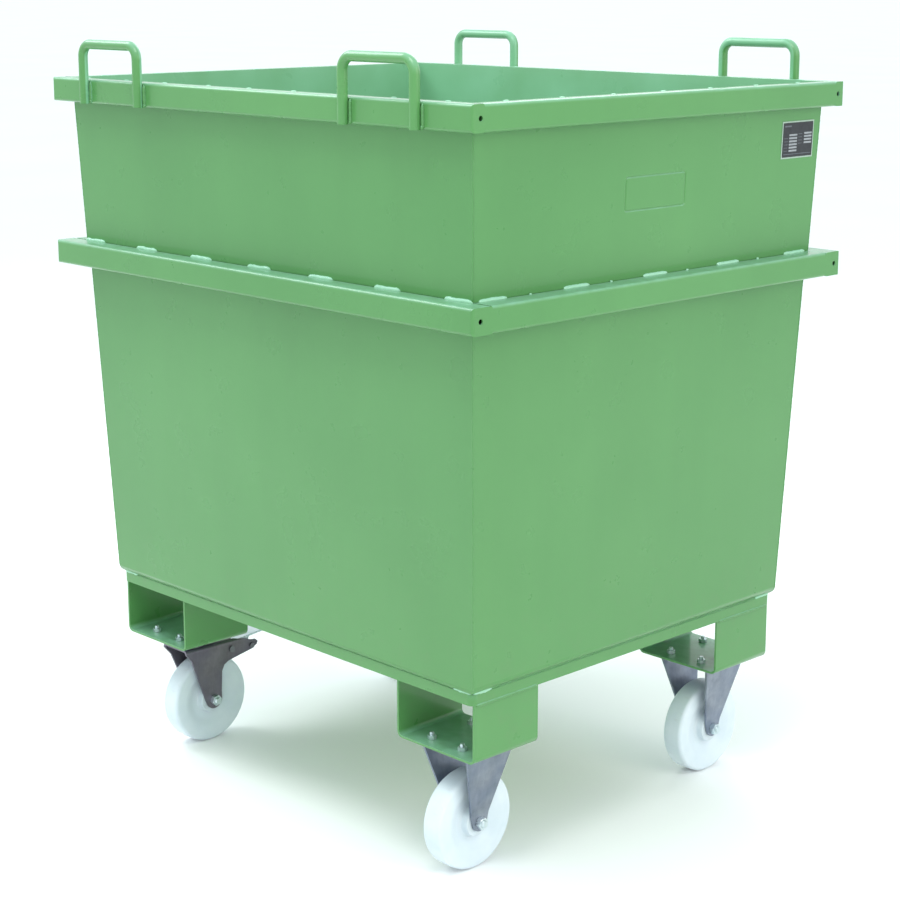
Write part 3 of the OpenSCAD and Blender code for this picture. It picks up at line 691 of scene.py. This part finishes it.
LABEL_LOW, LABEL_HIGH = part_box("rating_plate")
LABEL_UP = Vector((LEAN_X, 0, 1)).normalized()
LABEL_OUT = Vector((1, 0, -LEAN_X)).normalized()
LABEL_BORDER = 3 * MM


def label_point(u, v):
    """A point on the rating plate's face; u runs to the right and v runs down, both 0 to 1."""
    z = LABEL_HIGH.z - LABEL_BORDER - v * (LABEL_HIGH.z - LABEL_LOW.z - 2 * LABEL_BORDER)
    y = LABEL_LOW.y + LABEL_BORDER + u * (LABEL_HIGH.y - LABEL_LOW.y - 2 * LABEL_BORDER)
    return Vector((LABEL_HIGH.x - LEAN_X * (LABEL_HIGH.z - z), y, z))


def rounded_patch(shape, u0, v0, u1, v1, radius, thick, lift=0.0):
    """A thin rounded rectangle lying on the plate between two corners given in plate fractions."""
    low, high = label_point(u0, v1), label_point(u1, v0)
    width, height = high.y - low.y, (high - low).dot(LABEL_UP)
    outline = []
    for cy, cz, start in ((width - radius, height - radius, 0), (radius, height - radius, 90),
                          (radius, radius, 180), (width - radius, radius, 270)):
        for y, z in arc(cy, cz, radius, start, start + 90, 4):
            outline.append(low + Y * y + LABEL_UP * z + LABEL_OUT * lift)
    shape.plate(outline, LABEL_OUT * thick)


PANEL_THICK, PRINT = 0.25 * MM, 0.12 * MM
ROW_STEP, BAR_HIGH = 0.091, 0.052                   # fractions of the plate's height
# two columns of bars, each with a small line at its left, and a line above and below them all
panel, bars, lines = Shape(), Shape(), Shape()
rounded_patch(panel, 0, 0, 1, 1, 1.5 * MM, PANEL_THICK)
for row in range(6):
    top = 0.335 + ROW_STEP * row
    rounded_patch(bars, 0.21, top, 0.475, top + BAR_HIGH, 0.6 * MM, PRINT, PANEL_THICK)
    if row > 0:
        rounded_patch(lines, 0.04, top + 0.018, 0.17, top + 0.034, 0.3 * MM, PRINT, PANEL_THICK)
for row in range(4):
    top = 0.305 + ROW_STEP * row
    rounded_patch(bars, 0.71, top, 0.965, top + BAR_HIGH, 0.6 * MM, PRINT, PANEL_THICK)
    rounded_patch(lines, 0.51, top + 0.030, 0.64, top + 0.046, 0.3 * MM, PRINT, PANEL_THICK)
rounded_patch(lines, 0.05, 0.08, 0.27, 0.125, 0.8 * MM, PRINT, PANEL_THICK)
rounded_patch(lines, 0.04, 0.905, 0.96, 0.925, 0.4 * MM, PRINT, PANEL_THICK)
panel.make("rating_plate_panel", MATERIALS["label_dark"], "container", "label", 30)
bars.make("rating_plate_bars", MATERIALS["label_light"], "container", "label", 30)
lines.make("rating_plate_lines", MATERIALS["label_faint"], "container", "label", 30)


# ---------- wheels ----------

WHEEL_LOW, WHEEL_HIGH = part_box("wheel_front_right")
TREAD_R = (WHEEL_HIGH.z - WHEEL_LOW.z) / 2
HUB_HALF = (WHEEL_HIGH.x - WHEEL_LOW.x) / 2
TREAD_HALF, SHOULDER = 24 * MM, 8 * MM
BORE_R, HUB_R, WEB_HALF = 16.1 * MM, 30 * MM, 15 * MM
BAND_R = 74 * MM                                    # the flat side band starts here
DISH_R = 40 * MM                                    # the web is flat from the hub to here


def wheel_profile():
    """Half the rim, web and hub from the tread's middle to the bore, as (distance, radius)."""
    crown = 0.35 * MM
    side = [(0, TREAD_R), (TREAD_HALF * 0.35, TREAD_R - crown * 0.2)]
    side += arc(TREAD_HALF - SHOULDER, TREAD_R - SHOULDER - crown, SHOULDER, 88, 0, 9)
    side += [(TREAD_HALF, BAND_R + 9 * MM)]
    steps = 16
    for i in range(steps + 1):
        t = i / steps
        blend = 0.5 - 0.5 * math.cos(math.pi * t)
        side.append((TREAD_HALF + (WEB_HALF - TREAD_HALF) * blend, BAND_R + (DISH_R - BAND_R) * t))
    side += arc(WEB_HALF + 4 * MM, HUB_R + 5.5 * MM, 4 * MM, 180, 270, 5)
    side += arc(HUB_HALF - 1.5 * MM, HUB_R - 1.5 * MM, 1.5 * MM, 90, 0, 4)
    side += [(HUB_HALF, BORE_R + 1 * MM), (HUB_HALF - 1 * MM, BORE_R)]
    return side


def make_wheel(end, side):
    """A turned wheel in the place of the CAD one, with its origin on the axle."""
    name = f"wheel_{end}_{side}"
    low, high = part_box(name)
    centre = (low + high) / 2
    centre.z = TREAD_R
    half = wheel_profile()
    profile = half + [(-a, r) for a, r in reversed(half[1:])]
    shape = Shape()
    lathe(shape, profile, centre, X, 128)
    wheel = shape.make(f"nylon_{name}", MATERIALS["white_nylon"], f"roller_{end}_{side}",
                       "white_nylon", 32, centre)
    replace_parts(wheel, name)


for end, side in CORNERS:
    make_wheel(end, side)


# ---------- bolts and nuts ----------

def hex_body(shape, base, axis, flats, height, bore, turn, both_ends=True):
    """A hexagon with turned chamfers. bore is the hole's radius, or 0 for a solid head."""
    samples = 72
    u, v = across_axis(axis, turn)
    inner = flats / 2
    face_r = inner * 0.96
    slope = math.tan(math.radians(28))
    hole = max(bore, 0.2 * MM)
    countersink = 0.6 * MM if bore else 0.0

    def edge(angle):
        """The hexagon's radius at an angle."""
        return inner / math.cos((angle + math.pi / 6) % (math.pi / 3) - math.pi / 6)

    def circle(radius, z):
        return circle_points(base + axis * z, u, v, radius, samples)

    def rim(z, chamfer):
        """The hexagon's edge, moved along the axis by the chamfer: 1, -1 or 0 for none."""
        points = []
        for i in range(samples):
            angle = 2 * math.pi * i / samples
            drop = max(0.0, edge(angle) - face_r) * slope
            points.append(on_circle(base + axis * (z + chamfer * drop), u, v, edge(angle), angle))
        return points

    rings = [circle(hole + countersink, 0.0), circle(face_r, 0.0), rim(0.0, 1 if both_ends else 0),
             rim(height, -1), circle(face_r, height), circle(hole + countersink, height)]
    if bore:
        rings += [circle(hole, height - countersink), circle(hole, countersink)]
    shape.skin(rings, closed=bool(bore))


def threaded(shape, base, axis, radius, plain, total, pitch):
    """A plain shank that ends in a helical thread with a chamfered tip."""
    sides, steps = 28, 5                                # round the shank, and in one turn
    u, v = across_axis(axis)
    depth = 0.58 * pitch
    rings = [circle_points(base + axis * z, u, v, radius, sides) for z in (0.0, plain)]
    length = total - plain
    count = max(3, round(length / pitch * steps))
    for i in range(1, count + 1):
        s = length * i / count
        tip = min(1.0, max(0.0, (length - s) / (1.2 * pitch)))
        centre = base + axis * (plain + s)
        ring = []
        for j in range(sides):
            phase = (s / pitch - j / sides) % 1.0
            cut = depth * (1 - abs(2 * phase - 1)) * min(1.0, s / (0.6 * pitch))
            r = min(radius - cut, radius - depth * (1 - tip))
            ring.append(on_circle(centre, u, v, r, 2 * math.pi * j / sides))
        rings.append(ring)
    shape.skin(rings)


def stand_in(shape, cad_node, body):
    """Makes a fastener and puts it in the place of its CAD node."""
    made = shape.make(f"{cad_node}_fine", MATERIALS["bright_zinc"], body, "bright_zinc", 25)
    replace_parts(made, cad_node)


INTO_HEAD = 0.1 * MM                                # a shank starts this far inside its head
BOLT_R, M10_FLATS, M10_NUT, M10_HEAD, M10_PITCH = 5 * MM, 16 * MM, 8 * MM, 6.4 * MM, 1.5 * MM
BOLT_STEP_X, BOLT_STEP_Y = 85 * MM, 110 * MM        # a castor's bolt pattern
bolts_low, bolts_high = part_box("castor_bolts")
nuts_low, nuts_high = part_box("castor_nuts")
CASTOR_X = bolts_high.x - BOLT_STEP_X / 2 - M10_FLATS / 2
CASTOR_Y = bolts_high.y - BOLT_STEP_Y / 2 - M10_FLATS / 2 / math.cos(math.pi / 6)
bolt_shape, nut_shape = Shape(), Shape()
for end, side in CORNERS:
    for bx in (-1, 1):
        for by in (-1, 1):
            x = sign(side) * CASTOR_X + bx * BOLT_STEP_X / 2
            y = sign(end) * CASTOR_Y + by * BOLT_STEP_Y / 2
            turn = math.radians(90 + 13 * noise.noise(Vector((x * 20, y * 20, 1))))
            head_top = Vector((x, y, bolts_low.z + M10_HEAD))
            hex_body(bolt_shape, head_top, -Z, M10_FLATS, M10_HEAD, 0, math.radians(90), False)
            threaded(bolt_shape, head_top - Z * INTO_HEAD, Z, BOLT_R,
                     nuts_high.z - head_top.z - 1 * MM, bolts_high.z - head_top.z, M10_PITCH)
            hex_body(nut_shape, Vector((x, y, nuts_low.z)), Z, M10_FLATS, M10_NUT, BOLT_R, turn)
stand_in(bolt_shape, "castor_bolts", "container")
stand_in(nut_shape, "castor_nuts", "container")

AXLE_R, AXLE_FLATS, AXLE_HEAD, AXLE_PITCH = 7 * MM, 22 * MM, 9 * MM, 2 * MM


def make_axles(bolt_node, nut_node, body, ends):
    """The axle bolts and nuts of one node each, threaded and chamfered."""
    bolt, nut = Shape(), Shape()
    low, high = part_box(bolt_node)
    nut_low, nut_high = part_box(nut_node)
    for y in ends:
        start = Vector((low.x + AXLE_HEAD, y, TREAD_R))
        hex_body(bolt, start, -X, AXLE_FLATS, AXLE_HEAD, 0, 0.3, False)
        threaded(bolt, start - X * INTO_HEAD, X, AXLE_R,
                 nut_high.x - start.x - 2 * MM, high.x - start.x, AXLE_PITCH)
        hex_body(nut, Vector((nut_low.x, y, TREAD_R)), X,
                 AXLE_FLATS, nut_high.x - nut_low.x, AXLE_R, 0.25 + y)
    stand_in(bolt, bolt_node, body)
    stand_in(nut, nut_node, body)


make_axles("fixed_axle_bolts", "fixed_axle_nuts", "container", (-CASTOR_Y, CASTOR_Y))
for end in ENDS:
    low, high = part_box(f"axle_nut_{end}")
    make_axles(f"axle_bolt_{end}", f"axle_nut_{end}", f"swivel_{end}", ((low.y + high.y) / 2,))


# ---------- floor, light and camera ----------

FLOOR_R = 200.0                                     # so wide that its edge cannot be seen


def stage_floor():
    """A pale floor that lets a camera below it look through."""
    bpy.ops.mesh.primitive_circle_add(vertices=96, radius=FLOOR_R, fill_type="NGON",
                                      location=(0, 0, 0))
    floor = bpy.context.object
    floor.name = "floor"
    material, tree, shader = new_material("floor")
    cloud = ramp(tree, grain(tree, 0.6, 2.0), (0.3, srgb(248, 248, 248)), (0.7, srgb(251, 251, 251)))
    tree.links.new(cloud, shader.inputs["Base Color"])
    shader.inputs["Roughness"].default_value = 0.9
    shader.inputs["Specular IOR Level"].default_value = 0.1
    below = node(tree, "ShaderNodeNewGeometry").outputs["Backfacing"]
    clear = node(tree, "ShaderNodeBsdfTransparent").outputs[0]
    choose = node(tree, "ShaderNodeMixShader", {0: below, 1: shader.outputs[0], 2: clear})
    tree.links.new(choose.outputs[0], tree.nodes["Material Output"].inputs["Surface"])
    floor.data.materials.append(material)


def soft_light(name, location, aim_height, size, power, colour):
    """A round lamp that looks at a point on the container's middle line."""
    data = bpy.data.lights.new(name, "AREA")
    data.shape = "DISK"
    data.size = size
    data.energy = power
    data.color = colour
    light = bpy.data.objects.new(name, data)
    light.location = location
    aim = Z * aim_height - Vector(location)
    light.rotation_euler = aim.to_track_quat("-Z", "Y").to_euler()
    bpy.context.scene.collection.objects.link(light)


def studio_world():
    """An even pale sky, a little bluer overhead."""
    world = bpy.data.worlds.new("studio")
    world.use_nodes = True
    tree = world.node_tree
    sky = node(tree, "ShaderNodeTexCoord").outputs["Generated"]
    height = node(tree, "ShaderNodeSeparateXYZ", {"Vector": sky}).outputs["Z"]
    tone = ramp(tree, height, (0.0, (0.88, 0.89, 0.89, 1)), (0.3, (0.84, 0.87, 0.88, 1)),
                (0.9, (0.80, 0.95, 0.98, 1)))
    background = tree.nodes["Background"]
    tree.links.new(tone, background.inputs["Color"])
    background.inputs["Strength"].default_value = 1.25
    bpy.context.scene.world = world


stage_floor()
studio_world()
soft_light("key", (1.1, -1.5, 4.0), 0.9, 1.6, 44, (1.0, 1.0, 0.97))
soft_light("upper_left", (-3.0, -1.3, 4.2), 1.0, 2.2, 80, (0.94, 1.0, 1.0))
soft_light("side", (4.2, 0.4, 2.4), 0.8, 2.4, 38, (1.0, 0.90, 0.82))
soft_light("behind", (-1.6, 2.6, 3.6), 1.0, 2.0, 30, (0.95, 1.0, 1.0))

CAMERA_AZIMUTH, CAMERA_ELEVATION = math.radians(46.01), math.radians(12.01)
CAMERA_DISTANCE, CAMERA_SIDESTEP, CAMERA_HEIGHT = 4.361, 0.02046, 0.8167
CAMERA_LENS, CAMERA_SENSOR = 80.21, 36
CAMERA_SHIFT_Y = -50 / 900                          # the optical centre is above the middle
right = Vector((math.cos(CAMERA_AZIMUTH), math.sin(CAMERA_AZIMUTH), 0))
back = Vector((math.sin(CAMERA_AZIMUTH) * math.cos(CAMERA_ELEVATION),
               -math.cos(CAMERA_AZIMUTH) * math.cos(CAMERA_ELEVATION), math.sin(CAMERA_ELEVATION)))
camera = bpy.data.objects.new("camera", bpy.data.cameras.new("camera"))
camera.data.lens = CAMERA_LENS
camera.data.sensor_width = CAMERA_SENSOR
camera.data.shift_y = CAMERA_SHIFT_Y
camera.location = Z * CAMERA_HEIGHT + right * CAMERA_SIDESTEP + back * CAMERA_DISTANCE
camera.rotation_euler = (-back).to_track_quat("-Z", "Y").to_euler()
bpy.context.scene.collection.objects.link(camera)
bpy.context.scene.camera = camera
bpy.context.scene.view_settings.view_transform = "Standard"
